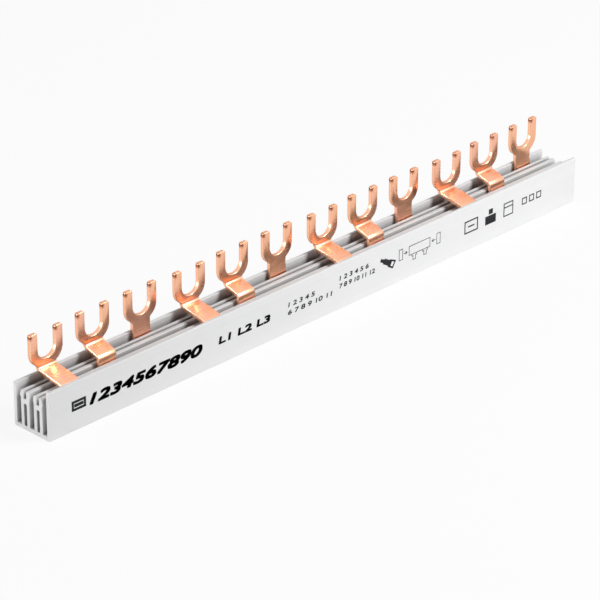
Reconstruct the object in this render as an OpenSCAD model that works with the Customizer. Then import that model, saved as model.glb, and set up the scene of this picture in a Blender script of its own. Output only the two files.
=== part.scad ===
// Three-phase comb busbar with fork tongues.
// An extruded insulating housing carries three stamped copper combs, one per phase.
// Frame: +X along the row of forks, +Y to the back wall, +Z up, origin under the middle.

/* [Row of forks] */
// Distance between neighbouring forks
pitch = 17.8; // [13:0.1:27]
// Number of forks on each comb
forks_per_comb = 4; // [1:1:6]
// Distance from the housing's left end to the middle of the first fork
end_left = 9.5; // [8:0.1:30]
// Distance from the middle of the last fork to the housing's right end
end_right = 10.7; // [8:0.1:30]

/* [Housing] */
// Thickness of the front and back walls
wall_t = 1.1; // [0.8:0.05:2]
// Thickness of the floor
floor_t = 1.25; // [0.8:0.05:1.6]
// Height of the front wall, which carries the print
front_h = 14.8; // [13:0.1:16]
// Height of the back wall
back_h = 13.4; // [12.5:0.1:13.5]
// Rounding of the walls' tops and of the outer edges
edge_r = 0.35; // [0.1:0.05:0.4]

/* [Partitions] */
// Width of each hollow partition between two bars
partition_w = 3.35; // [2.6:0.05:4.5]
// Height of the partitions
partition_h = 11.9; // [11.4:0.05:12.4]
// Width of the closed chamber inside a partition
chamber_w = 1.15; // [0.8:0.05:1.6]
// Height of the chamber's ceiling
chamber_top = 8; // [4:0.1:8.8]
// Width of the open groove along a partition's top
groove_w = 1; // [0.6:0.05:1.4]
// Depth of the open groove
groove_depth = 2.4; // [0.5:0.1:2.6]

/* [Copper] */
// Thickness of the copper sheet
copper_t = 1.3; // [0.8:0.05:1.5]
// Height of the flat bar that joins a comb's tongues
bar_h = 8; // [5:0.1:8.2]
// Distance from each end of the housing to the end of a bar
bar_setback = 3; // [1:0.5:4.5]

/* [Tongues] */
// Width of a tongue and of the neck above it
neck_w = 6.4; // [5:0.1:7.5]
// Height of the front comb's upper bend, at the corner where its tongues turn up
corner_h = 15.8; // [15.4:0.1:17]
// Height of the middle comb's upper bend above that
middle_rise = 0.2; // [0:0.05:0.5]
// Slope of the front comb's tongues
front_slope = 10.7; // [6:0.1:12]
// Slope of the middle comb's tongues
middle_slope = 18.4; // [10:0.1:22]
// Inside radius of the lower bends
lower_r = 0.5; // [0.3:0.1:0.8]
// Inside radius of the upper bends
upper_r = 0.9; // [0.3:0.1:1]
// Height of the upper crease of the back comb's joggle
crease_h = 14; // [13.8:0.1:14.8]
// Height of that joggle
joggle_h = 1.7; // [1.5:0.1:2.2]

/* [Forks] */
// Width of the opening between the prongs
gap_w = 6.45; // [5:0.05:8]
// Width of one prong
prong_w = 2.55; // [1.9:0.05:3]
// Depth of that opening from the prongs' tips to its round bottom
gap_depth = 8.4; // [6:0.1:12]
// Copper left under the opening, down to where the neck starts to widen
crotch_h = 2.2; // [1.6:0.1:3]
// How far above the front comb's upper bend the neck starts to widen
flare_rise = 0.1; // [0:0.05:1]
// Inside radius where the neck starts to widen
neck_r = 0.8; // [0.5:0.1:2]
// Outside radius of the shoulders under the prongs
shoulder_r = 4.6; // [3:0.1:5]
// Rounding of the prongs' tips
tip_r = 0.45; // [0.2:0.05:0.85]

/* [Fits] */
// Play of a bar across its slot
slot_play = 0.5; // [0.35:0.05:0.8]
// Gap between an outer bar and the wall beside it
wall_gap = 0.15; // [0.1:0.05:0.25]
// Gap between a lip and the copper that passes it
lip_gap = 0.05; // [0.02:0.01:0.1]
// Height of the lips' undersides above the bars
lip_rise = 0.35; // [0.1:0.05:0.6]
// How far the front comb's forks stand ahead of the back bar
front_lead = 0.7; // [0:0.05:1.5]
// How far the middle comb's forks stand behind the back bar
middle_lag = 0.15; // [0:0.05:0.6]
// How far the back comb's forks stand behind their own bar
back_lag = 0.25; // [0.15:0.05:0.3]

/* [Hidden] */
combs = 3;
forks = combs * forks_per_comb;
housing_l = end_left + (forks - 1) * pitch + end_right;
slot_w = copper_t + slot_play;
slot_step = slot_w + partition_w;
housing_w = 2 * wall_t + combs * slot_w + (combs - 1) * partition_w;
bar_top = floor_t + bar_h;
// The outer bars lie along the walls, and the middle one is centred in its slot
bar_gap = [wall_gap, slot_play / 2, slot_play - wall_gap];
// Front faces of the three bars and of the three combs' forks
bar_y = [for (k = [0 : combs - 1]) wall_t + k * slot_step + bar_gap[k]];
fork_y = [for (lag = [-front_lead, middle_lag, back_lag]) bar_y[2] + lag];
fork_w = gap_w + 2 * prong_w;
strip_w = fork_w + 2 * copper_t;
// Lengths worked out from angles are kept to a thousandth
function rounded(v) = round(1000 * v) / 1000;
// Slope of each comb's tongues, and the height of the corner at their upper bend
slope = [front_slope, middle_slope, atan2(joggle_h, back_lag)];
corner = [corner_h, corner_h + middle_rise, crease_h];
// All forks are alike, so they widen, open and end at the same heights
widen_h = corner_h + flare_rise;
gap_h = widen_h + crotch_h;
tip_h = gap_h + gap_depth;
copper = [0.90, 0.62, 0.46];
plastic = [0.86, 0.86, 0.86];
$fn = 48;

// Plate with both top corners rounded
module rounded_top(w, h, r) {
    square([w, h - r]);
    translate([r, 0])
        square([w - 2 * r, h]);
    for (x = [r, w - r])
        translate([x, h - r])
            circle(r);
}

// Opening with all four corners rounded
module rounded_box(w, h, r) {
    translate([0, r])
        rounded_top(w, h - r, r);
    translate([r, 0])
        square([w - 2 * r, h / 2]);
    for (x = [r, w - r])
        translate([x, r])
            circle(r);
}

// The two lips of a partition: flat undersides, blunt tips and long slopes to the top
module lips(front_reach, back_reach) {
    low = bar_top + lip_rise;
    rise = partition_h - edge_r - low;
    polygon([
        [0, low],
        [partition_w, low],
        [partition_w + back_reach, low + 0.3 * rise],
        [partition_w + back_reach, low + 0.45 * rise],
        [partition_w, low + rise],
        [0, low + rise],
        [-front_reach, low + 0.45 * rise],
        [-front_reach, low + 0.3 * rise]
    ]);
}

// Section of the partition between slots k and k + 1, with a lip over each bar
module partition_section(k) {
    translate([wall_t + k * slot_step + slot_w, 0])
        difference() {
            union() {
                rounded_top(partition_w, partition_h, edge_r);
                lips(slot_play - bar_gap[k] - lip_gap, bar_gap[k + 1] - lip_gap);
            }
            translate([(partition_w - chamber_w) / 2, floor_t])
                rounded_box(chamber_w, chamber_top - floor_t, edge_r);
            translate([(partition_w - groove_w) / 2, partition_h - groove_depth])
                square([groove_w, 2 * groove_depth]);
        }
}

module housing_section() {
    translate([edge_r, 0])
        square([housing_w - 2 * edge_r, floor_t]);
    for (y = [edge_r, housing_w - edge_r])
        translate([y, edge_r])
            circle(edge_r);
    translate([0, edge_r])
        rounded_top(wall_t, front_h - edge_r, edge_r);
    translate([housing_w - wall_t, edge_r])
        rounded_top(wall_t, back_h - edge_r, edge_r);
    for (k = [0 : combs - 2])
        partition_section(k);
}

module housing() {
    color(plastic)
        translate([-housing_l / 2, -housing_w / 2, 0])
            rotate([90, 0, 90])
                linear_extrude(housing_l)
                    housing_section();
}

// The copper is drawn as a wide strip that grows along +Z with its front face on y = 0,
// and a fork's outline is cut from it afterwards.
// A straight piece of strip
module straight(length) {
    translate([-strip_w / 2, 0, 0])
        cube([strip_w, copper_t, length]);
}

// A bend with inside radius r, swept about the origin from the +Y side towards +Z
module bend(r, turn) {
    reach = 2 * (r + copper_t);
    rotate([90, 0, 90])
        linear_extrude(strip_w, center = true)
            intersection() {
                difference() {
                    circle(r + copper_t);
                    circle(r);
                }
                square(reach);
                rotate(turn)
                    translate([0, -reach])
                        square(reach);
            }
}

// Bends the strip backwards, and carries on with the children along the new direction
module bend_back(r, turn) {
    translate([0, r + copper_t, 0]) {
        rotate([0, 0, 180])
            bend(r, turn);
        rotate([-turn, 0, 0])
            translate([0, -r - copper_t, 0])
                children();
    }
}

// Bends the strip forwards, and carries on with the children along the new direction
module bend_forward(r, turn) {
    translate([0, -r, 0]) {
        bend(r, turn);
        rotate([turn, 0, 0])
            translate([0, r, 0])
                children();
    }
}

// Side profile of comb k's tongues: leg, lower bend, slope, upper bend and fork plane
module bent_strip(k) {
    turn = 90 - slope[k];
    run = fork_y[k] - bar_y[k];
    low_cut = (lower_r + copper_t) * tan(turn / 2);
    high_cut = upper_r * tan(turn / 2);
    leg_h = rounded(corner[k] - run * tan(slope[k]) - low_cut);
    flat = rounded(run / cos(slope[k]) - low_cut - high_cut);
    straight(leg_h);
    translate([0, 0, leg_h])
        bend_back(lower_r, turn) {
            straight(flat);
            translate([0, 0, flat])
                bend_forward(upper_r, turn)
                    straight(tip_h);
        }
}

// Half of a fork's outline from the floor up, with its axis along x = 0
module half_outline() {
    radii = neck_r + shoulder_r;
    spread = radii - (fork_w - neck_w) / 2;
    shoulder_h = widen_h + sqrt(radii * radii - spread * spread);
    inner = [neck_w / 2 + neck_r, widen_h];
    outer = [fork_w / 2 - shoulder_r, shoulder_h];
    translate([0, floor_t])
        square([neck_w / 2, widen_h - floor_t]);
    difference() {
        polygon([[0, widen_h], inner, outer, [fork_w / 2, shoulder_h], [0, shoulder_h]]);
        translate(inner)
            circle(neck_r);
    }
    translate(outer)
        circle(shoulder_r);
    translate([gap_w / 2, shoulder_h])
        rounded_top(prong_w, tip_h - shoulder_h, tip_r);
    translate([0, shoulder_h])
        square([gap_w / 2 + tip_r, copper_t]);
}

module fork_outline() {
    difference() {
        union() {
            half_outline();
            mirror([1, 0])
                half_outline();
        }
        translate([0, gap_h + gap_w / 2])
            circle(gap_w / 2);
        translate([-gap_w / 2, gap_h + gap_w / 2])
            square([gap_w, tip_h - gap_h]);
    }
}

// Tongue of comb k with its fork, cut from the bent strip
module tongue(k) {
    intersection() {
        translate([0, bar_y[k], 0])
            bent_strip(k);
        translate([0, housing_w, 0])
            rotate([90, 0, 0])
                linear_extrude(housing_w)
                    fork_outline();
    }
}

// Comb k: a flat bar on edge with evenly spaced tongues, each carrying a fork
module comb(k) {
    color(copper)
        translate([-housing_l / 2, -housing_w / 2, 0]) {
            translate([bar_setback, bar_y[k], floor_t])
                cube([housing_l - 2 * bar_setback, copper_t, bar_h]);
            for (n = [0 : forks_per_comb - 1])
                translate([end_left + (combs * n + k) * pitch, 0, 0])
                    tongue(k);
        }
}

module front_comb() {
    comb(0);
}

module middle_comb() {
    comb(1);
}

module back_comb() {
    comb(2);
}

housing();
front_comb();
middle_comb();
back_comb();
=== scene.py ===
# %% [markdown]
# # A comb busbar with fork tongues
# A comb busbar feeds a row of circuit breakers. This one is a light grey plastic trough with
# three stamped copper combs, one for each phase, whose tongues end in forks. The lesson
# dresses a ready CAD model of it. The CAD parts are the frame: they keep their places, and
# the cells below give them softer edges, real surfaces, print, light and a camera.

# %% Load the frame
import bpy
import bmesh
import math
from mathutils import Matrix, Vector


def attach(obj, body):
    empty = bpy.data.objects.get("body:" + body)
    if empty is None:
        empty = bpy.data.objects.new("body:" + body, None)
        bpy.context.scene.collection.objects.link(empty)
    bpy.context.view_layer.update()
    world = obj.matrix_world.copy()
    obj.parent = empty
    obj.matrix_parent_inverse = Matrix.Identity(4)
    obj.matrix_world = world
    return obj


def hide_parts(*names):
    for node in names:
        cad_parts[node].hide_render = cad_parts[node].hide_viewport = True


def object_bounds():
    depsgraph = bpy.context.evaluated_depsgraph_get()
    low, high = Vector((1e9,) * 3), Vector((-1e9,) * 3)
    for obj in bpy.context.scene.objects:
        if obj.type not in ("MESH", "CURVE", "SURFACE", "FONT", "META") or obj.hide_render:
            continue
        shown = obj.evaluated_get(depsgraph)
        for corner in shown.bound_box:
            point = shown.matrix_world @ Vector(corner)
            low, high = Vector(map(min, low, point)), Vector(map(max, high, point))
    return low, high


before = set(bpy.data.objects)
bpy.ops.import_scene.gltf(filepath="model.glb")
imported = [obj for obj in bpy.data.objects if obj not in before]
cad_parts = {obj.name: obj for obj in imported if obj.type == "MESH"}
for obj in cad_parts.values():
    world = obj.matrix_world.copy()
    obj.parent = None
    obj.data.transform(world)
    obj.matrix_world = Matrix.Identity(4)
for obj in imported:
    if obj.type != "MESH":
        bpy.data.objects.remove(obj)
cad_low, cad_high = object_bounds()
MM = 0.001
print("CAD box, mm:", [round(v / MM, 2) for v in (*cad_low, *cad_high)])

# %% [markdown]
# ## The camera
# The busbar is seen from above its left end through a long lens, so that the row of forks
# runs away without much perspective. A camera could be placed by hand, but angles are easier
# to set again: its back axis points from the aim point to the lens, and its right axis stays
# nearly level.

# %% Camera
AZIMUTH, ELEVATION, ROLL = (math.radians(degrees) for degrees in (-45.546, 26.587, 0.16))
AIM = Vector((-5.44, -0.09, 3.78)) * MM
DISTANCE = 958.5 * MM
LENS, SENSOR = 199.46, 36.0
NEAREST, FARTHEST = 0.01, 20.0


def add_camera():
    right = Vector((math.cos(AZIMUTH), math.sin(AZIMUTH), 0))
    back = Vector((
        math.sin(AZIMUTH) * math.cos(ELEVATION),
        -math.cos(AZIMUTH) * math.cos(ELEVATION),
        math.sin(ELEVATION),
    ))
    up = back.cross(right)
    right, up = (
        right * math.cos(ROLL) + up * math.sin(ROLL),
        up * math.cos(ROLL) - right * math.sin(ROLL),
    )
    data = bpy.data.cameras.new("camera")
    data.lens, data.sensor_width = LENS, SENSOR
    data.clip_start, data.clip_end = NEAREST, FARTHEST
    camera = bpy.data.objects.new("camera", data)
    bpy.context.scene.collection.objects.link(camera)
    turn = Matrix((right, up, back)).transposed().to_4x4()
    camera.matrix_world = Matrix.Translation(AIM + back * DISTANCE) @ turn
    bpy.context.scene.camera = camera
    return camera


camera = add_camera()
print("camera at, mm:", [round(v / MM, 1) for v in camera.matrix_world.translation])

# %% [markdown]
# ## Writing materials as sums
# A material in Blender is a graph of nodes, and so is the sky. Writing each Math node by
# hand is slow to read, so one small class wraps an output socket and lets Python's own signs
# add the nodes: `1 - mask * 0.3` becomes two Math nodes.

# %% A socket that can be calculated with
class Value:
    def __init__(self, graph, socket):
        self.graph, self.socket = graph, socket

    def __add__(self, other):
        return self.graph.maths("ADD", self, other)

    def __sub__(self, other):
        return self.graph.maths("SUBTRACT", self, other)

    def __rsub__(self, other):
        return self.graph.maths("SUBTRACT", other, self)

    def __mul__(self, other):
        return self.graph.maths("MULTIPLY", self, other)

    __radd__, __rmul__ = __add__, __mul__


print("sums of sockets ready")

# %% [markdown]
# ## One way to add any node
# Every other node comes from one method, which takes the node's type, its settings and the
# values or links of its sockets. The helpers after it name the few patterns that this busbar
# needs: stretched noise, a blend of two colours, and the value that marks the middle of the
# rounded edges.

# %% The graph of a material or of the sky
class Graph:
    def __init__(self, owner):
        owner.use_nodes = True
        self.owner, self.tree = owner, owner.node_tree

    def feed(self, socket, value):
        if isinstance(value, Value):
            self.tree.links.new(value.socket, socket)
        else:
            socket.default_value = value

    def node(self, kind, settings=None, inputs=None, output=0):
        made = self.tree.nodes.new(kind)
        for key, value in (settings or {}).items():
            setattr(made, key, value)
        for key, value in (inputs or {}).items():
            self.feed(made.inputs[key], value)
        return Value(self, made.outputs[output])

    def maths(self, operation, *inputs):
        return self.node("ShaderNodeMath", {"operation": operation}, dict(enumerate(inputs)))

    def place(self, stretch=(1, 1, 1)):
        """Object coordinates, with more waves along an axis the larger its number."""
        spot = self.node("ShaderNodeTexCoord", output="Object")
        return self.node("ShaderNodeMapping", inputs={"Vector": spot, "Scale": stretch})

    def noise(self, where, scale, detail):
        inputs = {"Vector": where, "Scale": scale, "Detail": detail}
        return self.node("ShaderNodeTexNoise", inputs=inputs)

    def colours(self, factor, first, second):
        """A blend of two colours."""
        inputs = {0: factor, 6: first, 7: second}
        return self.node("ShaderNodeMix", {"data_type": "RGBA"}, inputs, output=2)

    def bumps(self, strength, distance, height):
        inputs = {"Strength": strength, "Distance": distance, "Height": height}
        return self.node("ShaderNodeBump", inputs=inputs)

    def bevel_middle(self):
        """1 in the middle of the rounded edges, which the bevels mark further down, and 0
        elsewhere.
        """
        return self.node("ShaderNodeAttribute", {"attribute_name": "bevel_middle"}, output="Fac")

    def surface(self, **inputs):
        shader = self.tree.nodes["Principled BSDF"]
        for name, value in inputs.items():
            self.feed(shader.inputs[name.replace("_", " ")], value)
        return Value(self, shader.outputs[0])


print("graph helper ready")

# %% [markdown]
# ## Painted reflections on the fork tips
# Each prong has a small, dark painted reflection just under the left corner of its tip,
# where the rounded edge would mirror something dark. The spots could be painted on a texture
# map, but they repeat with the forks, so they are worked out from the place on the comb: a
# Wrap node folds the whole row onto one fork.

# %% Painted dark reflections on the fork tips
PITCH = 17.8 * MM
FIRST_FORK = cad_low.x + 9.5 * MM
PRONG_CORNERS = (-5.6 * MM, 3.4 * MM)
REFLECTION_HALF_WIDTH = 0.8 * MM
REFLECTION_HALF_HEIGHT = 1.0 * MM
REFLECTION_MIDDLE = cad_high.z - 0.7 * MM


def patch(g, away, reach):
    """1 where the distance is 0, falling to 0 where it equals the reach."""
    return g.maths("MAXIMUM", 1 - g.maths("ABSOLUTE", away) * (1 / reach), 0.0)


def painted_tip_reflection(g):
    where = g.node("ShaderNodeTexCoord", output="Object")
    x, z = (g.node("ShaderNodeSeparateXYZ", inputs={"Vector": where}, output=axis) for axis in "XZ")
    left, right = (
        g.maths("WRAP", x - (FIRST_FORK + corner), PITCH / 2, -PITCH / 2)
        for corner in PRONG_CORNERS
    )
    across = patch(g, left, REFLECTION_HALF_WIDTH) + patch(g, right, REFLECTION_HALF_WIDTH)
    return across * patch(g, z - REFLECTION_MIDDLE, REFLECTION_HALF_HEIGHT)


# Two corners of each fork get a painted dark reflection.
print("a dark_reflection under", len(PRONG_CORNERS), "corners of each fork")

# %% [markdown]
# ## Copper
# The combs are bare rolled copper. A metal's colour is the colour of its reflections, so the
# shader is fully metallic with an orange-pink base. The strip was rolled along the busbar,
# which leaves faint lines along X, and the air has browned it in soft patches. The rounded
# edges are painted paler, as a painted highlight. Specular Tint is the colour of a metal seen
# at a flat angle, and here it darkens the outlines.

# %% Copper material
FRESH_COPPER = (1.0, 0.54, 0.31, 1)
BROWNED_COPPER = (0.95, 0.50, 0.37, 1)
# Paler copper for a painted highlight on the rounded edges.
PAINTED_HIGHLIGHT_COPPER = (1.0, 0.78, 0.56, 1)
# Nearly black brown for the painted dark reflections under the tip corners.
PAINTED_REFLECTION_COPPER = (0.24, 0.08, 0.04, 1)
PAINTED_REFLECTION_STRENGTH = 1.3
COPPER_OUTLINE = (0.60, 0.42, 0.36, 1)


def copper_material():
    g = Graph(bpy.data.materials.new("copper"))
    lines = g.noise(g.place((30, 900, 900)), scale=1, detail=4)
    browned = g.noise(g.place(), scale=60, detail=1)
    flat = g.colours(browned, FRESH_COPPER, BROWNED_COPPER)
    # A painted highlight on the rounded edges, streaked along the rolling lines.
    edge_highlighted = g.colours(g.bevel_middle() * (0.5 + 0.5 * lines), flat, PAINTED_HIGHLIGHT_COPPER)
    # A painted dark reflection under the left corner of each prong tip.
    tone = g.colours(painted_tip_reflection(g) * PAINTED_REFLECTION_STRENGTH, edge_highlighted, PAINTED_REFLECTION_COPPER)
    g.surface(
        Base_Color=tone,
        Metallic=1.0,
        Roughness=0.22 + lines * 0.05 + browned * 0.05,
        Normal=g.bumps(0.008, 0.2 * MM, lines),
        Specular_Tint=COPPER_OUTLINE,
    )
    return g.owner


copper = copper_material()
print("made", copper.name)

# %% [markdown]
# ## Grey plastic
# The trough is extruded rigid PVC: light grey, matt to satin, with very faint draw lines
# that run its whole length. The lines are noise stretched along X. Its rounded edges are a
# little paler than the flat faces. The narrow slots get painted shade, a darker grey. It could
# be painted in, but an Ambient Occlusion node finds the slots by itself, and a steep sum
# leaves the wider trough unshaded.

# %% Plastic material
LIGHT_GREY = (0.85, 0.85, 0.855, 1)
DRAWN_GREY = (0.81, 0.81, 0.815, 1)
# Dark grey for the painted shade deep in the slots.
PAINTED_SHADE_GREY = (0.24, 0.24, 0.245, 1)
# Paler grey on the rounded edges.
PALE_EDGE_GREY = (0.90, 0.90, 0.90, 1)
SHADE_REACH = 3 * MM


def unshaded(g):
    """1 or more on open faces, falling to 0 and less deep in the slots."""
    settings = {"samples": 8, "only_local": True}
    inputs = {"Distance": SHADE_REACH}
    openness = g.node("ShaderNodeAmbientOcclusion", settings, inputs, output="AO")
    return (openness - 0.25) * 2.0


def plastic_material():
    g = Graph(bpy.data.materials.new("grey_plastic"))
    draw = g.noise(g.place((6, 700, 700)), scale=1, detail=3)
    grain = g.noise(g.place(), scale=1500, detail=2)
    flat = g.colours(draw, LIGHT_GREY, DRAWN_GREY)
    # Ambient occlusion paints shade into the narrow slots.
    slot_shaded = g.colours(unshaded(g), PAINTED_SHADE_GREY, flat)
    tone = g.colours(g.bevel_middle() * (0.4 + 0.6 * grain), slot_shaded, PALE_EDGE_GREY)
    g.surface(
        Base_Color=tone,
        Roughness=0.42 + grain * 0.1,
        Normal=g.bumps(0.05, 0.1 * MM, draw + grain * 0.3),
    )
    return g.owner


plastic = plastic_material()
print("made", plastic.name)

# %% [markdown]
# ## From bmesh to object
# Every new piece starts as a bmesh, which is edited with operators, and ends as an object at
# the origin whose place is in its mesh. One helper does that last step for all of them.

# %% New objects
def add_object(name, made, material):
    mesh = bpy.data.meshes.new(name)
    made.to_mesh(mesh)
    made.free()
    mesh.materials.append(material)
    new = bpy.data.objects.new(name, mesh)
    bpy.context.scene.collection.objects.link(new)
    return new


print("object helper ready")

# %% [markdown]
# ## Softer edges
# Stamping rolls the edges of the copper over, and the extruder's die rounds the plastic a
# little. Those edges catch the light. A Bevel modifier could round them, but the operator
# also says which faces it made, so their vertices can be marked for a paler edge colour,
# which on the copper is a painted highlight. Each CAD node is copied, its loose triangles are
# merged into clean faces, and its sharp edges are rounded. The tips of the prongs keep their
# dull edges. The copy replaces the node.

# %% Bevelled copies
COPPER_EDGE, PLASTIC_EDGE = 0.18 * MM, 0.12 * MM
MERGE = 0.002 * MM
FLAT_ANGLE, CORNER_ANGLE, SHADING_ANGLE = (math.radians(degrees) for degrees in (0.5, 35, 40))
DULL_TIP = 0.7 * MM


def merged_copy(node):
    """A bmesh of a CAD node with its triangles joined into whole faces."""
    made = bmesh.new()
    made.from_mesh(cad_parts[node].data)
    bmesh.ops.remove_doubles(made, verts=made.verts, dist=MERGE)
    bmesh.ops.dissolve_limit(
        made, angle_limit=FLAT_ANGLE, verts=made.verts, edges=made.edges,
        use_dissolve_boundaries=False,
    )
    return made


def round_edges(made, radius, segments):
    """Bevels the corners, and marks the middle of each rounding for the paler edge colour."""
    edges = [e for e in made.edges if e.is_manifold and e.calc_face_angle() > CORNER_ANGLE]
    bevel_middle = made.verts.layers.float.new("bevel_middle")
    strips = set(bmesh.ops.bevel(
        made, geom=edges, offset=radius, offset_type="OFFSET", affect="EDGES",
        segments=segments, profile=0.5, material=-1, clamp_overlap=True,
    )["faces"])
    for vert in made.verts:
        in_strips = all(face in strips for face in vert.link_faces)
        vert[bevel_middle] = float(in_strips and vert.co.z < cad_high.z - DULL_TIP)
    bmesh.ops.recalc_face_normals(made, faces=made.faces)
    return len(edges)


def soften(node, radius, segments, material):
    made = merged_copy(node)
    rounded = round_edges(made, radius, segments)
    for face in made.faces:
        face.smooth = True
        face.material_index = 0
    piece = add_object(node + "_soft", made, material)
    piece.data.set_sharp_from_angle(angle=SHADING_ANGLE)
    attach(piece, "root")
    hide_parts(node)
    print(piece.name, len(piece.data.polygons), "faces,", rounded, "edges rounded")


for comb in ("front_comb", "middle_comb", "back_comb"):
    soften(comb, COPPER_EDGE, 3, copper)
soften("housing", PLASTIC_EDGE, 2, plastic)

# %% [markdown]
# ## Ink
# Busbars carry black print on the front wall. It is a dull, nearly black ink, a little
# thinner in places. A mark could be drawn in the plastic's material, but then its edge would
# be as coarse as the baked picture. Here each mark is a plate on the wall, thinner than a
# hair, so its edges stay crisp at any size.

# %% Ink material and print pieces
SOLID_INK, THIN_INK = (0.008, 0.008, 0.009, 1), (0.03, 0.03, 0.032, 1)
INK_T = 0.03 * MM
WALL_Y = cad_low.y


def ink_material():
    g = Graph(bpy.data.materials.new("black_ink"))
    thin = g.noise(g.place(), scale=900, detail=2)
    g.surface(
        Base_Color=g.colours(thin, SOLID_INK, THIN_INK),
        Roughness=0.65 + thin * 0.2,
        Normal=g.bumps(0.05, 0.05 * MM, thin),
        Specular_IOR_Level=0.2,
    )
    return g.owner


def print_piece(name, made):
    piece = add_object(name, made, ink)
    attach(piece, "root")
    print(name, len(piece.data.polygons), "faces")


ink = ink_material()
print("made", ink.name)

# %% [markdown]
# ## Words and numerals
# The print here is a heavy row of numerals, the names of the three phases, and four rows of
# small numerals. Words come from Blender's own font, turned into a mesh before they are
# placed. The font has no bold letters. Offsetting its outline breaks the corners of small
# letters, so shifted copies are laid over each other instead.

# %% Words and numerals
def font_letters(name, body, slant):
    """A bmesh of the words, one font unit deep, lying flat."""
    curve = bpy.data.curves.new(name, "FONT")
    curve.body, curve.shear, curve.extrude = body, slant, 0.5
    text = bpy.data.objects.new(name, curve)
    bpy.context.scene.collection.objects.link(text)
    bpy.context.view_layer.update()
    flat = bpy.data.meshes.new_from_object(text)
    bpy.data.objects.remove(text)
    made = bmesh.new()
    made.from_mesh(flat)
    return made


def thicken(made, bold):
    """Lays copies over the letters, each shifted by up to the given length."""
    once = made.verts[:] + made.edges[:] + made.faces[:]
    steps = (0, bold / 2, bold)
    for shift in [(x, y, 0) for x in steps for y in steps if x or y]:
        copy = bmesh.ops.duplicate(made, geom=once)["geom"]
        verts = [v for v in copy if isinstance(v, bmesh.types.BMVert)]
        bmesh.ops.translate(made, verts=verts, vec=Vector(shift) * MM)


def words(name, body, left, right, low, high, bold=0.12, slant=0.1):
    """Words that fill a rectangle of the front wall. Lengths are in mm."""
    made = font_letters(name, body, slant)
    xs, ys = ([v.co[axis] for v in made.verts] for axis in (0, 1))
    wide = (right - left - bold) / (max(xs) - min(xs)) * MM
    tall = (high - low - bold) / (max(ys) - min(ys)) * MM
    bmesh.ops.translate(made, verts=made.verts, vec=(-min(xs), -min(ys), 0))
    bmesh.ops.scale(made, verts=made.verts, vec=(wide, tall, INK_T))
    thicken(made, bold)
    upright = Matrix.Rotation(math.radians(90), 3, "X")
    bmesh.ops.rotate(made, verts=made.verts, matrix=upright)
    bmesh.ops.translate(made, verts=made.verts, vec=(left * MM, WALL_Y, low * MM))
    print_piece(name, made)


words("heavy_numerals", "1234567890", -93.6, -51.2, 5.7, 9.1, bold=0.5, slant=0.25)
words("phase_names", "L1 L2 L3", -45.0, -24.6, 6.3, 8.7, bold=0.35)
words("small_numerals_1", "1 2 3 4 5", -17.4, -6.6, 8.1, 9.6)
words("small_numerals_2", "6 7 8 9 10 11", -17.5, 0.6, 5.6, 7.1)
words("small_numerals_3", "1 2 3 4 5 6", 3.6, 15.8, 9.2, 10.7)
words("small_numerals_4", "7 8 9 10 11 12", 3.6, 18.4, 6.7, 8.2)

# %% [markdown]
# ## Strokes
# The drawings on the wall are made of straight lines. A curve with a bevel could draw them,
# but a stretched cube for each stroke has square ends and few faces. A stroke is given by
# its ends and runs half its width past them, so that corners close.

# %% Strokes
FINE, THIN, MEDIUM, BOLD = 0.22, 0.25, 0.38, 0.45
CUBE_CORNERS = 8


def strokes(made, width, *points):
    """Straight strokes from point to point on the front wall. Lengths are in mm."""
    for (x0, z0), (x1, z1) in zip(points, points[1:]):
        length = math.hypot(x1 - x0, z1 - z0) + width
        middle = Vector(((x0 + x1) / 2 * MM, WALL_Y, (z0 + z1) / 2 * MM))
        turn = Matrix.Rotation(-math.atan2(z1 - z0, x1 - x0), 4, "Y")
        # Each stroke is a hair thicker than the one before, so that no two faces coincide
        thick = INK_T * (1 + 0.01 * (len(made.verts) // CUBE_CORNERS % 25))
        size = Matrix.Diagonal((length * MM, thick, width * MM, 1))
        bmesh.ops.create_cube(made, size=1, matrix=Matrix.Translation(middle) @ turn @ size)


def box(x0, z0, x1, z1):
    return [(x0, z0), (x1, z0), (x1, z1), (x0, z1), (x0, z0)]


def block_mark():
    """A plain block before the heavy numerals."""
    made = bmesh.new()
    strokes(made, 0.8, *box(-99.6, 6.5, -95.2, 8.8))
    strokes(made, 1.0, (-98.6, 7.65), (-96.2, 7.65))
    return made


print_piece("block_mark", block_mark())

# %% [markdown]
# ## The drawing of the end caps
# A busbar is cut to length and closed with two caps. The drawing shows a bar with two
# tongues below it, a cap at each end, and the arrows along which the caps are pushed on. The
# tongues and the caps repeat, so each is drawn by a loop.

# %% End cap drawing
BAR_LOW, BAR_HIGH = 7.2, 10.1
CAP_LOW, CAP_HIGH, CAP_W = 6.9, 10.3, 1.5
ARROW_Z = 8.6


def tongue_outline(x):
    shoulder, tip = 6.6, 5.3
    return [
        (x, BAR_LOW), (x, shoulder), (x + 0.5, shoulder), (x + 0.5, tip),
        (x + 1.6, tip), (x + 1.6, shoulder), (x + 2.1, shoulder), (x + 2.1, BAR_LOW),
    ]


def arrow(made, tail, tip):
    barb = math.copysign(0.6, tip - tail)
    strokes(made, THIN, (tail, ARROW_Z), (tip, ARROW_Z))
    head = [(tip - barb, ARROW_Z + 0.4), (tip, ARROW_Z), (tip - barb, ARROW_Z - 0.4)]
    strokes(made, THIN, *head)


def end_cap_drawing():
    made = bmesh.new()
    strokes(made, FINE, *box(33.1, BAR_LOW, 42.1, BAR_HIGH))
    for x in (34.3, 39.0):
        strokes(made, FINE, *tongue_outline(x))
    for cap, tail, tip in ((28.8, 30.9, 32.2), (45.1, 44.4, 43.0)):
        strokes(made, FINE, *box(cap, CAP_LOW, cap + CAP_W, CAP_HIGH))
        arrow(made, tail, tip)
    return made


print_piece("end_cap_drawing", end_cap_drawing())

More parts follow.
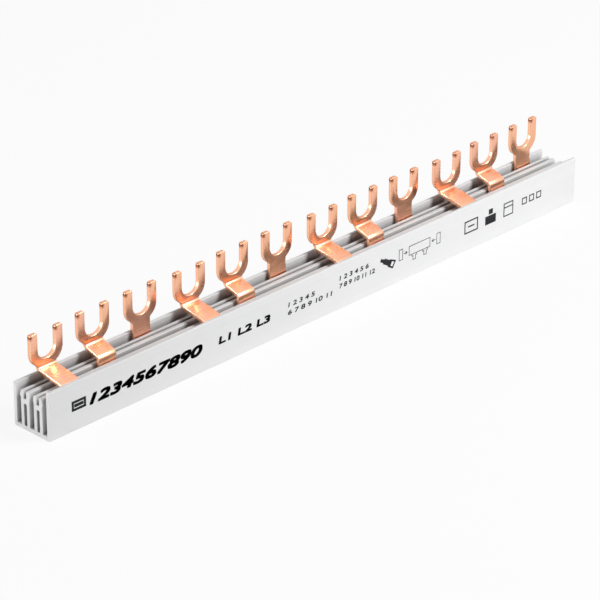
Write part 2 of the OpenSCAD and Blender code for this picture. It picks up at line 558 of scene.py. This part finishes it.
# %% [markdown]
# ## Plain signs
# A row of signs closes the print: a cutting mark with a blade and an open grip, a framed
# dash, a block with a smaller block over it, a box with a lid line and three small boxes.
# They are plain shapes that stand for no rule or maker, drawn with the same strokes.

# %% Plain signs
SMALL_BOXES = (83.6, 86.9, 90.2)


def cutting_mark(made):
    strokes(made, 1.1, (21.3, 9.5), (24.4, 7.9))
    strokes(made, 1.8, (23.0, 8.6), (24.6, 7.7))
    grip = [(24.9, 8.5), (27.1, 7.6), (26.0, 5.8), (24.2, 6.8), (24.9, 8.5)]
    strokes(made, 0.55, *grip)


def plain_signs():
    made = bmesh.new()
    cutting_mark(made)
    strokes(made, BOLD, *box(57.6, 5.9, 63.2, 9.6))
    strokes(made, BOLD, (59.2, 7.75), (61.6, 7.75))
    strokes(made, 2.8, (68.1, 7.0), (70.1, 7.0))
    strokes(made, 1.7, (69.1, 9.6), (69.2, 9.6))
    strokes(made, MEDIUM, *box(75.2, 5.8, 79.2, 9.9))
    strokes(made, MEDIUM, (75.2, 8.6), (79.2, 8.6))
    for x in SMALL_BOXES:
        strokes(made, MEDIUM, *box(x, 7.1, x + 1.9, 9.0))
    return made


print_piece("plain_signs", plain_signs())

# %% [markdown]
# ## White floor
# The busbar stands on a white ground. A floor lit until it clips would lose the shadow, so
# the Light Path node is used: rays from the camera, and those that arrive by a reflection,
# see mostly plain white, and everything else meets a pale, matt floor that takes the shadow
# and throws soft light back.

# %% Floor
FLOOR_REACH = 3.0
FLOOR_GAP = 0.05 * MM
FLOOR_GREY = (0.96, 0.96, 0.96, 1)
WHITE = (1, 1, 1, 1)


def white_share(g, share):
    """How far a ray that looks straight at a surface sees plain white."""
    def ray(kind):
        return g.node("ShaderNodeLightPath", output=kind)

    scattered = g.maths("MINIMUM", ray("Diffuse Depth"), 1.0)
    looks = ray("Is Camera Ray") + ray("Is Glossy Ray") + ray("Is Transmission Ray")
    return looks * (1 - scattered) * share


def floor_material():
    g = Graph(bpy.data.materials.new("floor_white"))
    plain = g.surface(Base_Color=FLOOR_GREY, Roughness=0.9)
    glow = g.node("ShaderNodeEmission", inputs={"Color": WHITE, "Strength": 1.0})
    mixed = g.node("ShaderNodeMixShader", inputs={0: white_share(g, 0.9), 1: plain, 2: glow})
    g.feed(g.tree.nodes["Material Output"].inputs["Surface"], mixed)
    return g.owner


def add_floor():
    made = bmesh.new()
    bmesh.ops.create_grid(made, x_segments=1, y_segments=1, size=FLOOR_REACH)
    bmesh.ops.translate(made, verts=made.verts, vec=(0, 0, cad_low.z - FLOOR_GAP))
    floor = add_object("floor", made, floor_material())


add_floor()
print("floor at, mm:", round((cad_low.z - FLOOR_GAP) / MM, 2))

# %% [markdown]
# ## Sky
# An even sky fills the shadows. At full strength it would flatten the trough, so it is dim
# as a source of light and white where it is looked at, by the same Light Path sum as the
# floor's.

# %% Sky
SKY_LEVEL = 0.10


def add_sky(level):
    world = bpy.data.worlds.new("sky")
    bpy.context.scene.world = world
    g = Graph(world)
    background = g.tree.nodes["Background"]
    g.feed(background.inputs["Color"], WHITE)
    g.feed(background.inputs["Strength"], level + (1 - level) * white_share(g, 1.0))


add_sky(SKY_LEVEL)
print("sky at", SKY_LEVEL)

# %% [markdown]
# ## Lamps
# Small parts are lit by soft boxes. Three round area lamps stand in for them: a key above
# and before the right end that makes the front wall bright, a weak low fill from the front,
# and a side lamp from behind the left end that lights the left edges of the prongs. Each one
# is turned to the middle of the busbar.

# %% Lamps
LAMPS = {
    "key": {"place": (0.34, -0.52, 0.66), "size": 0.36, "watts": 6.4},
    "fill": {"place": (-0.30, -0.85, 0.08), "size": 0.35, "watts": 1.1},
    "side": {"place": (-0.80, 0.42, 0.14), "size": 0.35, "watts": 4.0},
}


def add_lamp(name, place, size, watts):
    data = bpy.data.lights.new(name, "AREA")
    data.shape, data.size, data.energy = "DISK", size, watts
    lamp = bpy.data.objects.new(name, data)
    lamp.location = place
    lamp.rotation_mode = "QUATERNION"
    lamp.rotation_quaternion = (-Vector(place)).to_track_quat("-Z", "Y")
    bpy.context.scene.collection.objects.link(lamp)


for name, settings in LAMPS.items():
    add_lamp(name, **settings)
bpy.context.scene.view_settings.view_transform = "Standard"
print(len(LAMPS), "lamps ready")
